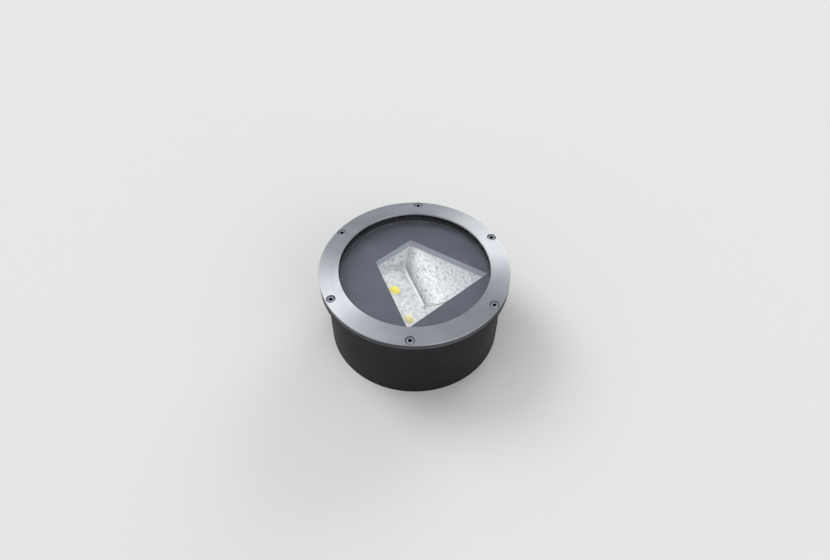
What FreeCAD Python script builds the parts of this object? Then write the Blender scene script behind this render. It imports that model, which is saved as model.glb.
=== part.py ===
"""In ground well light: a ground sleeve, a sealed luminaire that lifts out of it, and an optic that turns.

Millimetres, +Z up. The origin is on the axis, on the underside of the sleeve. The light looks straight up.
"""
import FreeCAD, Part
import math
import os

V = FreeCAD.Vector

# ---- Ground sleeve ----------------------------------------------------------
sleeve_wall = 2.5
sump = 4.5                   # from the sleeve's underside up to the luminaire's
sleeve_foot_w = 18.0
sleeve_foot_t = 3.0
sleeve_flange_t = 2.5
conduit_bore_r = 12.6        # takes 25 mm conduit
conduit_boss_wall = 3.4
conduit_boss_len = 5.5       # length of the conduit's bore
conduit_spot_depth = 1.0     # flat spot-faced into the round barrel

# ---- Trim ring and its screws -----------------------------------------------
trim_r = 105.0
trim_overhang = 7.0          # of the ring past the sleeve's barrel
screw_land_w = 12.2          # solid ring outside the glass pocket, for the screws
trim_edge_t = 5.0            # thickness at the outer edge
trim_crown = 2.3             # rise from the outer edge to the inner one
trim_lip_t = 2.5             # thickness of the lip over the glass
trim_skirt_w = 2.3
trim_skirt_drop = 2.7
trim_chamfer = 0.6
trim_screw_count = 6
trim_screw_first_deg = 30.0
counterbore_r = 5.1
counterbore_web = 1.5        # metal left under a screw head
trim_screw_r = 2.5
trim_screw_head_r = 4.25
trim_screw_head_h = 3.5
trim_screw_hex = 4.0
blind_left = 0.5             # metal left under a blind tapped hole
tip_gap = 0.5                # from a screw's tip to the bottom of its hole

# ---- Glass and gaskets ------------------------------------------------------
glass_t = 8.0
glass_bearing = 8.3          # how far the glass reaches under the lip
glass_arris = 0.5
gasket_t = 1.0
gasket_set_back = 0.7        # inner edge of the gasket behind the lip's
flange_gasket_t = 1.0

# ---- Housing ----------------------------------------------------------------
housing_flange_t = 5.5
bowl_wall = 3.0
floor_t = 3.0
bowl_corner = 0.8            # inside, round the floor
fin_count = 24
fin_t = 2.5
rib_set_back = 6.85          # of a rib's lower corner from midway between compartment and fin edge
fin_root_depth = 9.0         # of the ribs under the floor
fin_knee_rise = 17.5         # from a rib's underside to the fin's full reach
gear_inner_r = 62.0
gear_wall = 3.0
stop_lug_r = 3.5
stop_lug_h = 7.5

# ---- Cover under the gear compartment ---------------------------------------
cover_t = 3.5
cover_screw_count = 6
cover_screw_r = 2.0
cover_screw_len = 10.0
cover_head_r = 3.8
cover_head_h = 2.2
cover_screw_hex = 2.5
cover_lug_r = 5.5
cover_lug_h = 9.0
cover_seal_w = 1.6
vent_r = 8.0
vent_h = 3.5
vent_notches = 12
vent_notch_r = 1.0
vent_notch_h = 2.3
vent_offset = 30.0

# ---- Cable glands, M16 ------------------------------------------------------
gland_thread_r = 8.0
gland_hex = 19.0
gland_hex_t = 4.0
gland_neck_len = 8.0         # threaded neck that the seal sits in
gland_dome_len = 6.0
gland_boss_r = 11.5
gland_boss_len = 11.0
gland_margin = 0.5           # between a boss and the cover or floor
gland_boss_proud = 3.0       # beyond the compartment's wall
gland_bore_r = 5.0
gland_cone_r = 6.5
cable_r = 4.2                # cable that the seal closes on
seal_r = 6.6
locknut_t = 4.0

# ---- Swivel -----------------------------------------------------------------
bush_r = 9.0
bush_bore_r = 5.5
bush_flange_r = 13.0
bush_flange_t = 3.0
bush_proud = 0.9             # above the nut
friction_washer_r = 30.0
friction_washer_t = 1.0
disc_spring_r = 13.5
disc_spring_h = 1.5
disc_spring_t = 0.8
swivel_nut_hex = 22.0
swivel_nut_t = 4.0
swivel_limit_deg = 170.0
stop_clear_deg = 0.3         # left between tab and lug at the limit

# ---- Optic: carrier, mask plate, posts --------------------------------------
optic_gap = 0.8              # between the mask's edge and the bowl
mask_drop = 3.0              # mask's face below the glass seat
mask_t = 2.0
carrier_t = 3.0
carrier_edge_gap = 10.2      # room for the stop lug round the carrier
post_inset = 6.0             # of the post circle from the carrier's edge
post_r = 4.0
post_bearings_deg = (0.0, 71.0, 180.0, 289.0)   # from the aiming direction
boss_h = 4.0
mask_screw_r = 2.0
mask_screw_grip = 2.5        # thread in the mask's boss
csk_head_r = 4.0
csk_hex = 2.5
csk_socket_depth = 1.6

# ---- Window in the mask, seen from the swivel axis --------------------------
window_aim_deg = 133.4       # direction of its short side
window_front = 44.0          # axis to the short side
window_back = 51.4           # axis to the long side
window_short_w = 52.8
window_shift = 4.5           # the long side's middle beside the axis
window_short_shift = 6.0     # the short side's middle beside the axis
window_margin = 2.2          # its farthest corner from the mask's edge
collar_t = 1.0
collar_h = 7.0               # of the collar below the mask plate

# ---- Reflectors -------------------------------------------------------------
sheet_t = 1.0
panel_w = 33.4               # LED panel, left leg to bead, in plan
panel_drop = 13.5            # fall of the LED panel over that width
bead_r = 2.0
gutter_w = 3.6
gutter_drop = 8.0            # below the bead
short_end_slope_deg = 60.0
long_end_slope_deg = 34.3
short_end_bulge = 0.3
long_end_bulge = 0.9
hook_inset = 6.0
tab_len = 10.0
tab_w = 9.0
stud_shares = (0.27, 0.73)   # places of the two studs along a side
stud_r = 1.5
stud_gap = 0.15              # round a stud in its tab
stud_h = 5.0
stud_nut_hex = 5.5
stud_nut_t = 2.4

# ---- LEDs and their heat sink -----------------------------------------------
led_inset = 9.5              # from the left leg, in plan
led_first = 37.3             # along the left leg from the short side
led_pitch = 43.7
emitter_r = 5.6
emitter_rise = 4.2           # of its dome above the panel's face
led_board_w = 13.2
led_board_t = 1.2
holder_len = 24.0
holder_w = 15.4
holder_t = 2.4
led_screw_r = 1.0
led_screw_head_r = 2.0
led_screw_hex = 1.5
led_screw_offset = 9.2
led_screw_len = 5.0
pad_t = 0.5
sink_inset = 1.8
sink_clear = 3.57            # from its side to the disc spring
sink_front = 10.0            # beyond the first LED's centre
sink_channels = 3
sink_wall = 2.2
sink_base_t = 4.5
sink_top_t = 4.0
sink_screw_shares = (0.2, 0.8)   # places of its two screws along it
sink_screw_len = 5.5

# ---- Gear in the compartment ------------------------------------------------
driver_size = (66.0, 32.0, 20.0)
driver_headroom = 4.0        # over the cover
driver_offset = 16.0         # from the axis
driver_ear = 7.0
block_size = (36.0, 18.0, 15.0)
block_pitch = 8.25
clamp_screw_r = 2.2
clamp_screw_h = 3.75
clamp_slot_w = 1.2
gear_screw_r = 1.5
gear_screw_head_r = 2.8
gear_screw_head_h = 1.8
gear_screw_grip = 2.4
gear_screw_hex = 2.25
ear_t = 1.5
earth_radius = 46.0
earth_bearing_deg = 62.0
earth_stud_len = 7.2         # below the housing's floor
earth_washer_r = 4.5
earth_washer_t = 0.75
earth_nut_t = 2.85
lead_r = 1.2
lead_bend = 7.2
lead_exit_depth = 14.0       # of the LED lead below the housing's floor
driver_lead_depth = 9.0
driver_lead_sag = 4.0
connector_len = 16.0
connector_depth = 9.4
connector_h = 7.0
lead_rise = 1.0              # of the LED lead over the bush

# ---- Clearances -------------------------------------------------------------
body_gap = 0.3               # between bodies that don't bear on each other
running_gap = 0.05           # turning fit of the carrier on the bush
screw_gap = 0.25             # round a screw in a plain hole
thread_gap = 0.05            # round a screw in a tapped hole
seat_gap = 0.2               # round what drops into a pocket
fin_gap = 1.3                # fins to the sleeve
past = 1.0                   # how far a cutting tool runs past what it cuts

# ---- Heights, from the sleeve's underside up --------------------------------
cover_lo_z = sump + vent_h
gear_lo_z = cover_lo_z + cover_t
gear_depth = max(driver_size[2] + driver_headroom, 2 * (gland_boss_r + gland_margin))
gear_top_z = gear_lo_z + gear_depth
entry_z = gear_lo_z + gear_depth / 2
floor_z = gear_top_z + floor_t
washer_top_z = floor_z + friction_washer_t
carrier_lo_z = washer_top_z + running_gap
carrier_hi_z = carrier_lo_z + carrier_t
nut_lo_z = carrier_hi_z + running_gap + disc_spring_h
nut_hi_z = nut_lo_z + swivel_nut_t
bush_top_z = nut_hi_z + bush_proud
lead_z = bush_top_z + lead_rise + lead_r
lead_split_z = lead_z - lead_bend
gutter_z = lead_z + lead_r + 2 * body_gap + sheet_t
bead_z = gutter_z + gutter_drop
collar_z = bead_z + panel_drop
mask_lo_z = collar_z + collar_h
mask_hi_z = mask_lo_z + mask_t
seat_z = mask_hi_z + mask_drop
glass_lo_z = seat_z + gasket_t
glass_hi_z = glass_lo_z + glass_t
lip_z = glass_hi_z + gasket_t
rim_z = lip_z + trim_lip_t
edge_z = rim_z - trim_crown
flange_hi_z = edge_z - trim_edge_t
skirt_z = flange_hi_z - trim_skirt_drop
flange_lo_z = flange_hi_z - housing_flange_t
ledge_z = flange_lo_z - flange_gasket_t
ground_z = ledge_z - sleeve_flange_t
trim_screw_len = counterbore_web + housing_flange_t - blind_left - tip_gap

# ---- Radii ------------------------------------------------------------------
pocket_r = trim_r - screw_land_w
gasket_r = pocket_r - seat_gap
glass_r = gasket_r - gasket_t
opening_r = glass_r - glass_bearing
screw_circle_r = (pocket_r + trim_r) / 2
skirt_inner_r = trim_r - trim_skirt_w
flange_r = skirt_inner_r - body_gap
gasket_inner_r = opening_r + gasket_set_back
bowl_r = gasket_inner_r + seat_gap
bowl_outer_r = bowl_r + bowl_wall
sleeve_outer_r = trim_r - trim_overhang
sleeve_inner_r = sleeve_outer_r - sleeve_wall
fin_r = sleeve_inner_r - fin_gap
gear_outer_r = gear_inner_r + gear_wall
cover_screw_circle_r = gear_outer_r + cover_screw_r - body_gap
cover_r = cover_screw_circle_r + cover_lug_r
mask_r = bowl_r - optic_gap
carrier_r = bowl_r - carrier_edge_gap
post_circle_r = carrier_r - post_inset
stop_circle_r = (carrier_r + bowl_r) / 2
gland_face_x = gear_outer_r + gland_boss_proud
gland_neck_x = gland_face_x + gland_hex_t

# ---- The window's corners and sides -----------------------------------------
aim = V(math.cos(math.radians(window_aim_deg)), math.sin(math.radians(window_aim_deg)), 0)
across = V(aim.y, -aim.x, 0)
long_half = math.sqrt((mask_r - window_margin) ** 2 - window_back ** 2) - window_shift
short_half = window_short_w / 2
corner_left = aim * window_front + across * (window_short_shift - short_half)
corner_top = aim * window_front + across * (window_short_shift + short_half)
corner_right = -aim * window_back + across * (window_shift + long_half)
corner_bottom = -aim * window_back + across * (window_shift - long_half)
corners = [corner_left, corner_top, corner_right, corner_bottom]
left_leg = (corner_bottom, corner_left)
short_side = (corner_left, corner_top)
right_leg = (corner_top, corner_right)
long_side = (corner_right, corner_bottom)


# ---- Shape helpers ----------------------------------------------------------
def at_height(point, z):
    """The same place in plan, at height z."""
    return V(point.x, point.y, z)


def polar(radius, degrees, z=0.0):
    """A point on a circle about the axis."""
    angle = math.radians(degrees)
    return V(radius * math.cos(angle), radius * math.sin(angle), z)


def rod(radius, z_lo, z_hi, centre=V(0, 0, 0)):
    """Upright cylinder."""
    return Part.makeCylinder(radius, z_hi - z_lo, at_height(centre, z_lo))


def tube(inner, outer, z_lo, z_hi, centre=V(0, 0, 0)):
    """Upright tube."""
    return rod(outer, z_lo, z_hi, centre).cut(rod(inner, z_lo, z_hi, centre))


def face_of(points):
    """Flat face round a closed run of corners."""
    return Part.Face(Part.makePolygon(points + points[:1]))


def turned(profile):
    """Solid of revolution about Z from (radius, height) corners."""
    return face_of([V(r, 0, z) for r, z in profile]).revolve(V(0, 0, 0), V(0, 0, 1), 360)


def prism(outline, z_lo, z_hi):
    """Upright prism on an outline given in plan."""
    return face_of([at_height(p, z_lo) for p in outline]).extrude(V(0, 0, z_hi - z_lo))


def hexagon(across_flats, z_lo, z_hi, centre=V(0, 0, 0)):
    """Upright hexagonal prism."""
    corner_r = across_flats / math.sqrt(3)
    return prism([centre + polar(corner_r, 60 * i) for i in range(6)], z_lo, z_hi)


def block(x_lo, x_hi, y_lo, y_hi, z_lo, z_hi):
    """Box between two corners."""
    return Part.makeBox(x_hi - x_lo, y_hi - y_lo, z_hi - z_lo, V(x_lo, y_lo, z_lo))


def fused(shapes):
    """One solid from overlapping ones."""
    return shapes[0].multiFuse(shapes[1:]).removeSplitter()


def cut_all(shape, tools):
    """A shape less every tool."""
    return shape.cut(Part.makeCompound(tools))


def moved(shape, offset):
    """A copy of a shape, shifted."""
    copy = shape.copy()
    copy.translate(offset)
    return copy


def spun(shape, degrees):
    """A copy of a shape, turned about the axis."""
    copy = shape.copy()
    copy.rotate(V(0, 0, 0), V(0, 0, 1), degrees)
    return copy


def flipped(shape, z):
    """A copy of a shape upside down, so that what was at z = 0 is at z."""
    copy = shape.copy()
    copy.rotate(V(0, 0, 0), V(1, 0, 0), 180)
    copy.translate(V(0, 0, z))
    return copy


def towards_x(shape):
    """A copy of a shape whose +Z now points along +X, raised to the cable entries."""
    copy = shape.copy()
    copy.rotate(V(0, 0, 0), V(0, 1, 0), 90)
    copy.translate(V(0, 0, entry_z))
    return copy


def both_entries(shape):
    """A shape made along +Z from the axis, at both cable entries."""
    one = towards_x(shape)
    return Part.makeCompound([one, spun(one, 180)])


def write(node, shape):
    """Check one sub-part and write its STEP file."""
    if not shape.isValid():
        raise ValueError(node + " is not a valid shape")
    shape.exportStep("parts/" + node + ".step")
    print(node, len(shape.Solids), "solids, volume", round(shape.Volume, 1))


# ---- Screws -----------------------------------------------------------------
def socket_screw(shank_r, length, head_r, head_h, hex_flats):
    """Cylinder-head socket screw, head up, with the underside of its head at z = 0."""
    tip = shank_r / 5
    edge = head_h / 10
    body = turned([
        (0, -length), (shank_r - tip, -length), (shank_r, tip - length), (shank_r, 0),
        (head_r, 0), (head_r, head_h - edge), (head_r - edge, head_h), (0, head_h),
    ])
    return body.cut(hexagon(hex_flats, head_h / 3, head_h + past))


def countersunk_screw(shank_r, length):
    """Countersunk socket screw, head down, with its face at z = 0 and its tip at z = length."""
    head_h = csk_head_r - shank_r
    body = turned([(0, 0), (csk_head_r, 0), (shank_r, head_h), (shank_r, length), (0, length)])
    return body.cut(hexagon(csk_hex, -past, csk_socket_depth))


def countersink(centre, z_lo, z_hi):
    """Hole for a countersunk screw that comes from below."""
    hole_r = mask_screw_r + screw_gap
    mouth = turned([(0, 0), (csk_head_r, 0), (hole_r, csk_head_r - hole_r), (0, csk_head_r - hole_r)])
    return fused([moved(mouth, at_height(centre, z_lo)), rod(hole_r, z_lo, z_hi, centre)])


def hex_nut(flats, bore_r, z_lo, z_hi, centre=V(0, 0, 0)):
    """Plain hexagon nut."""
    return hexagon(flats, z_lo, z_hi, centre).cut(rod(bore_r, z_lo, z_hi, centre))


# ---- Ground sleeve ----------------------------------------------------------
def installation_sleeve():
    """Barrel with a foot ring, a ledge for the light and an upstand round it."""
    upstand_outer_r = trim_r - seat_gap
    upstand_inner_r = flange_r + 2 * seat_gap
    barrel = turned([
        (sleeve_outer_r - sleeve_foot_w, 0), (sleeve_outer_r, 0), (sleeve_outer_r, ground_z),
        (upstand_outer_r, ground_z), (upstand_outer_r, skirt_z - body_gap),
        (upstand_inner_r, skirt_z - body_gap), (upstand_inner_r, ledge_z), (sleeve_inner_r, ledge_z),
        (sleeve_inner_r, sleeve_foot_t), (sleeve_outer_r - sleeve_foot_w, sleeve_foot_t),
    ])
    face_x = sleeve_outer_r - conduit_spot_depth
    boss_r = conduit_bore_r + conduit_boss_wall
    inner_x = face_x - conduit_boss_len
    boss = both_entries(rod(boss_r, inner_x, face_x))
    spot = both_entries(rod(boss_r, face_x, sleeve_outer_r + past))
    bore = both_entries(rod(conduit_bore_r, inner_x - past, sleeve_outer_r + past))
    return fused([barrel] + boss.Solids).cut(spot).cut(bore)


# ---- Trim ring, glass and gaskets -------------------------------------------
def trim_screw_places():
    """Where the ring's screws are, in plan."""
    step = 360 / trim_screw_count
    return [polar(screw_circle_r, trim_screw_first_deg + step * i) for i in range(trim_screw_count)]


def trim_ring():
    """Crowned ring: lip over the glass, flat on the housing's flange, skirt round it."""
    fall = trim_crown / (trim_r - opening_r)
    c = trim_chamfer
    ring = turned([
        (opening_r, lip_z), (pocket_r, lip_z), (pocket_r, flange_hi_z), (skirt_inner_r, flange_hi_z),
        (skirt_inner_r, skirt_z), (trim_r - c, skirt_z), (trim_r, skirt_z + c), (trim_r, edge_z - c),
        (trim_r - c, edge_z + fall * c), (opening_r + c, rim_z - fall * c), (opening_r, rim_z - c),
    ])
    head_seat_z = flange_hi_z + counterbore_web
    tools = []
    for place in trim_screw_places():
        tools.append(rod(counterbore_r, head_seat_z, rim_z + past, place))
        tools.append(rod(trim_screw_r + screw_gap, flange_hi_z - past, head_seat_z + past, place))
    return cut_all(ring, tools)


def trim_screws():
    """Six socket screws, seated in the counterbores."""
    screw = socket_screw(trim_screw_r, trim_screw_len, trim_screw_head_r, trim_screw_head_h, trim_screw_hex)
    seat = flange_hi_z + counterbore_web
    return Part.makeCompound([moved(screw, at_height(p, seat)) for p in trim_screw_places()])


def cover_glass():
    """Toughened glass disc with arrised edges."""
    a = glass_arris
    return turned([
        (0, glass_lo_z), (glass_r - a, glass_lo_z), (glass_r, glass_lo_z + a),
        (glass_r, glass_hi_z - a), (glass_r - a, glass_hi_z), (0, glass_hi_z),
    ])


def glass_gasket():
    """U-section ring round the glass edge."""
    return turned([
        (gasket_inner_r, seat_z), (gasket_r, seat_z), (gasket_r, lip_z),
        (gasket_inner_r, lip_z), (gasket_inner_r, glass_hi_z), (glass_r, glass_hi_z),
        (glass_r, glass_lo_z), (gasket_inner_r, glass_lo_z),
    ])


def flange_gasket():
    """Flat ring that the luminaire rests on."""
    return tube(sleeve_inner_r + seat_gap, flange_r - seat_gap, ledge_z, flange_lo_z)


# ---- Housing ----------------------------------------------------------------
def housing_shell():
    """Flange, glass seat, bowl, floor and the wall of the gear compartment."""
    corner = bowl_wall * 2
    return turned([
        (bush_r + thread_gap, gear_top_z), (gear_inner_r, gear_top_z), (gear_inner_r, gear_lo_z),
        (gear_outer_r, gear_lo_z), (gear_outer_r, gear_top_z), (bowl_outer_r - corner, gear_top_z),
        (bowl_outer_r, gear_top_z + corner), (bowl_outer_r, flange_lo_z), (flange_r, flange_lo_z),
        (flange_r, flange_hi_z), (pocket_r, flange_hi_z), (pocket_r, seat_z), (bowl_r, seat_z),
        (bowl_r, floor_z + bowl_corner), (bowl_r - bowl_corner, floor_z), (bush_r + thread_gap, floor_z),
    ])


def cooling_fins():
    """Fins up the bowl and ribs under its floor, left out over the cable glands."""
    root_r = bowl_outer_r - bowl_wall / 2
    wall_r = gear_outer_r - gear_wall / 2
    floor_mid_z = gear_top_z + floor_t / 2
    under_z = gear_top_z - fin_root_depth
    rib_r = (wall_r + fin_r) / 2 - rib_set_back
    outline = [
        V(wall_r, 0, floor_mid_z), V(wall_r, 0, under_z), V(rib_r, 0, under_z),
        V(fin_r, 0, under_z + fin_knee_rise), V(fin_r, 0, flange_lo_z), V(root_r, 0, flange_lo_z),
        V(root_r, 0, floor_z + floor_t), V(root_r - floor_t, 0, floor_mid_z),
    ]
    fin = moved(face_of(outline).extrude(V(0, fin_t, 0)), V(0, -fin_t / 2, 0))
    step = 360 / fin_count
    clear_deg = math.degrees(math.asin((gland_boss_r + fin_t) / gear_outer_r))
    return [spun(fin, step * i) for i in range(fin_count)
            if min(step * i % 180, 180 - step * i % 180) > clear_deg]


def cover_screw_places():
    """Where the cover's screws are, in plan, clear of the cable glands."""
    step = 360 / cover_screw_count
    return [polar(cover_screw_circle_r, step * (i + 0.5)) for i in range(cover_screw_count)]


def gear_screw_places():
    """Fixing points of the driver and of the terminal block, in plan."""
    ear_x = driver_size[0] / 2 - driver_ear / 2
    block_x = block_size[0] / 2 - gear_screw_head_r - body_gap * 3
    driver_y = -driver_offset - driver_size[1] / 2
    block_y = driver_offset + block_size[1] / 2
    return [V(ear_x, driver_y, 0), V(-ear_x, driver_y, 0), V(block_x, block_y, 0), V(-block_x, block_y, 0)]


def housing():
    """Die-cast body of the luminaire."""
    lugs = [rod(cover_lug_r, gear_lo_z, gear_lo_z + cover_lug_h, p) for p in cover_screw_places()]
    inner_x = gland_face_x - gland_boss_len
    bosses = both_entries(rod(gland_boss_r, inner_x, gland_face_x)).Solids
    stop = rod(stop_lug_r, floor_z - floor_t / 2, floor_z + stop_lug_h, -aim * stop_circle_r)
    body = fused([housing_shell(), stop] + lugs + bosses + cooling_fins())
    tapped = trim_screw_r + thread_gap
    tools = [rod(tapped, flange_lo_z + blind_left, flange_hi_z + past, p) for p in trim_screw_places()]
    hole_hi_z = cover_lo_z + cover_screw_len + past
    tools += [rod(cover_screw_r + thread_gap, gear_lo_z - past, hole_hi_z, p) for p in cover_screw_places()]
    tools += [rod(gear_screw_r + thread_gap, gear_top_z - past, gear_top_z + gear_screw_grip, p)
              for p in gear_screw_places() + [earth_place()]]
    tools.append(both_entries(rod(gland_thread_r + thread_gap, inner_x - past, gland_face_x + past)))
    return cut_all(body, tools)


# ---- Cover ------------------------------------------------------------------
def seal_ring(z_hi):
    """Ring the width of the cover's seal, from the bottom of its groove up to z_hi."""
    middle = (gear_inner_r + gear_outer_r) / 2
    return tube(middle - cover_seal_w / 2, middle + cover_seal_w / 2, gear_lo_z - cover_seal_w, z_hi)


def bottom_cover():
    """Flat cover with a seal groove, six screw holes and the vent's hole."""
    lo, hi = cover_lo_z - past, gear_lo_z + past
    holes = [rod(cover_screw_r + screw_gap, lo, hi, p) for p in cover_screw_places()]
    vent = rod(vent_r / 2 + thread_gap, lo, hi, vent_place())
    return cut_all(rod(cover_r, cover_lo_z, gear_lo_z), [seal_ring(hi), vent] + holes)


def cover_seal():
    """Seal cord, pressed square in its groove."""
    return seal_ring(gear_lo_z)


def cover_screws():
    """Six screws that come from below."""
    screw = socket_screw(cover_screw_r, cover_screw_len, cover_head_r, cover_head_h, cover_screw_hex)
    return Part.makeCompound([moved(flipped(screw, cover_lo_z), p) for p in cover_screw_places()])


def vent_place():
    """Where the vent sits, in plan."""
    return V(0, vent_offset, 0)


def breather_valve():
    """Pressure-equalising vent: threaded stem through the cover, ribbed cap below it."""
    stem = rod(vent_r / 2, cover_lo_z, gear_lo_z, vent_place())
    cap = rod(vent_r, sump, cover_lo_z, vent_place())
    places = [vent_place() + polar(vent_r, 360 / vent_notches * i) for i in range(vent_notches)]
    tools = [rod(vent_notch_r, sump - past, sump + vent_notch_h, p) for p in places]
    tools.append(rod(vent_notch_r, cover_lo_z, gear_lo_z + past, vent_place()))
    return cut_all(fused([stem, cap]), tools)


# ---- Cable glands, each made along +Z and then laid along X ------------------
def gland_bodies():
    """Threaded body with its hexagon against the housing and a socket for the seal."""
    start = gland_face_x - gland_boss_len - locknut_t - past
    thread = rod(gland_thread_r, start, gland_face_x)
    flange = hexagon(gland_hex, gland_face_x, gland_neck_x)
    neck = rod(gland_thread_r, gland_neck_x, gland_neck_x + gland_neck_len)
    body = fused([thread, flange, neck])
    body = body.cut(rod(gland_bore_r, start - past, gland_neck_x))
    return both_entries(body.cut(rod(seal_r, gland_neck_x, gland_neck_x + gland_neck_len + past)))


def gland_seals():
    """Rubber sleeves that close on the cable."""
    return both_entries(tube(cable_r, seal_r, gland_neck_x, gland_neck_x + gland_neck_len))


def gland_nuts():
    """Dome nuts that press the seals."""
    neck_end = gland_neck_x + gland_neck_len
    end = neck_end + gland_dome_len
    dome = turned([(0, neck_end), (gland_hex / 2, neck_end), (gland_cone_r, end), (0, end)])
    body = fused([hexagon(gland_hex, gland_neck_x, neck_end), dome])
    body = body.cut(rod(gland_thread_r + thread_gap, gland_neck_x - past, neck_end))
    return both_entries(body.cut(rod(gland_bore_r, gland_neck_x, end + past)))


def gland_locknuts():
    """Nuts on the inside of the compartment."""
    inner = gland_face_x - gland_boss_len
    return both_entries(hex_nut(gland_hex, gland_thread_r + thread_gap, inner - locknut_t, inner))


# ---- Swivel -----------------------------------------------------------------
def friction_washer():
    """Washer that the carrier turns on."""
    return tube(bush_r + seat_gap, friction_washer_r, floor_z, washer_top_z)


def swivel_bush():
    """Hollow pivot with a flange under the housing's floor."""
    flange = rod(bush_flange_r, gear_top_z - bush_flange_t, gear_top_z)
    barrel = rod(bush_r, gear_top_z - bush_flange_t, bush_top_z)
    return fused([flange, barrel]).cut(rod(bush_bore_r, gear_top_z - bush_flange_t - past, bush_top_z + past))


def disc_spring():
    """Coned washer: low at its rim, high at its bore."""
    low = carrier_hi_z + running_gap
    inner = bush_r + seat_gap
    return turned([
        (inner, nut_lo_z - disc_spring_t), (inner, nut_lo_z), (disc_spring_r, low + disc_spring_t),
        (disc_spring_r, low),
    ])


def swivel_nut():
    """Thin nut on the bush."""
    return hex_nut(swivel_nut_hex, bush_r + thread_gap, nut_lo_z, nut_hi_z)


# ---- Optic: carrier, mask, posts --------------------------------------------
def post_places():
    """Where the mask's posts stand, in plan."""
    return [polar(post_circle_r, window_aim_deg + bearing) for bearing in post_bearings_deg]


def stop_tab():
    """Tab on the carrier, opposite the housing's lug at rest."""
    lug_deg = math.degrees(math.asin(stop_lug_r / stop_circle_r))
    half_deg = 180 - swivel_limit_deg - stop_clear_deg - lug_deg
    reach = mask_r - body_gap
    far = reach / math.cos(math.radians(half_deg))
    wedge = [V(0, 0, 0), polar(far, window_aim_deg - half_deg), polar(far, window_aim_deg + half_deg)]
    sector = prism(wedge, carrier_lo_z, carrier_hi_z)
    return sector.common(tube(carrier_r - post_inset / 2, reach, carrier_lo_z, carrier_hi_z))


def optic_carrier():
    """Turntable plate with a close bore on the bush."""
    plate = fused([rod(carrier_r, carrier_lo_z, carrier_hi_z), stop_tab()])
    tools = [rod(bush_r + running_gap, carrier_lo_z - past, carrier_hi_z + past)]
    tools += [countersink(p, carrier_lo_z, carrier_hi_z + past) for p in post_places() + sink_screw_places()]
    return cut_all(plate, tools)


def mask_posts():
    """Spacer tubes from the carrier to the mask's bosses."""
    bore = mask_screw_r + screw_gap
    return Part.makeCompound([tube(bore, post_r, carrier_hi_z, mask_lo_z - boss_h, p) for p in post_places()])


def mask_screws():
    """Long screws from under the carrier into the mask's bosses."""
    length = mask_lo_z - boss_h + mask_screw_grip - carrier_lo_z
    screw = countersunk_screw(mask_screw_r, length)
    return Part.makeCompound([moved(screw, at_height(p, carrier_lo_z)) for p in post_places()])


def inward(side):
    """Unit vector in plan, square to a side of the window and pointing into it."""
    start, end = side
    normal = V(-(end - start).y, (end - start).x, 0)
    middle = (corner_left + corner_right) * 0.5
    return normal.normalize() * math.copysign(1, normal.dot(middle - start))


def inset_point(corner, side_a, gap_a, side_b, gap_b, z=0.0):
    """The point that lies gap_a inside side_a and gap_b inside side_b, two sides that meet at corner."""
    a, b = inward(side_a), inward(side_b)
    scale = a.x * b.y - a.y * b.x
    x = (gap_a * b.y - gap_b * a.y) / scale
    y = (gap_b * a.x - gap_a * b.x) / scale
    return V(corner.x + x, corner.y + y, z)


def window_outline(inset):
    """The window's corners, moved inwards, or outwards for a negative inset."""
    sides = [left_leg, short_side, right_leg, long_side]
    return [inset_point(corners[i], sides[i], inset, sides[(i + 1) % 4], inset) for i in range(4)]


def stud_places(side):
    """The two weld studs beside one side of the window, in plan."""
    start, end = side
    out = -inward(side) * (collar_t + sheet_t + tab_len / 2)
    return [start + (end - start) * share + out for share in stud_shares]


def all_stud_places():
    """All eight weld studs."""
    return [p for side in (left_leg, short_side, right_leg, long_side) for p in stud_places(side)]


def within_mask(shape):
    """What of a shape lies inside the mask's edge."""
    return shape.common(rod(mask_r, gear_lo_z, seat_z))


def mask_plate():
    """Plate with the window, a collar round it, weld studs and screw bosses."""
    collar = within_mask(prism(window_outline(-collar_t), collar_z, mask_hi_z))
    solids = [rod(mask_r, mask_lo_z, mask_hi_z), collar]
    solids += [rod(stud_r, mask_lo_z - stud_h, mask_lo_z, p) for p in all_stud_places()]
    solids += [rod(post_r, mask_lo_z - boss_h, mask_lo_z, p) for p in post_places()]
    tapped = mask_screw_r + thread_gap
    tools = [rod(tapped, mask_lo_z - boss_h - past, mask_lo_z - blind_left, p) for p in post_places()]
    tools.append(prism(window_outline(0), collar_z - past, mask_hi_z + past))
    return cut_all(fused(solids), tools)


# ---- Reflectors -------------------------------------------------------------
def at_short_end(leg_gap, z):
    """Point of the short-end plane at a height and a distance from the left leg."""
    fall = (collar_z - z) / math.tan(math.radians(short_end_slope_deg))
    return inset_point(corner_left, left_leg, leg_gap, short_side, fall, z)


def at_long_end(leg_gap, z):
    """Point of the long-end plane at a height and a distance from the left leg."""
    fall = (collar_z - z) / math.tan(math.radians(long_end_slope_deg))
    return inset_point(corner_bottom, left_leg, leg_gap, long_side, fall, z)


def hooks(side):
    """Ledge under the collar, upstand outside it and two tabs with stud holes."""
    start, end = side
    along = (end - start).normalize()
    out = -inward(side)

    def strip(from_start, to_start, near, far, z_lo, z_hi):
        a = start + along * from_start
        b = start + along * to_start
        return prism([a + out * near, b + out * near, b + out * far, a + out * far], z_lo, z_hi)

    length = (end - start).Length
    back = collar_t + sheet_t
    pieces = [
        strip(hook_inset, length - hook_inset, 0, back, collar_z - sheet_t, collar_z),
        strip(hook_inset, length - hook_inset, collar_t, back, collar_z - sheet_t, mask_lo_z),
    ]
    for place in stud_places(side):
        mid = (place - start).dot(along)
        tab = strip(mid - tab_w / 2, mid + tab_w / 2, collar_t, back + tab_len, mask_lo_z - sheet_t, mask_lo_z)
        pieces.append(tab.cut(rod(stud_r + stud_gap, mask_lo_z - sheet_t - past, mask_lo_z + past, place)))
    return pieces


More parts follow.
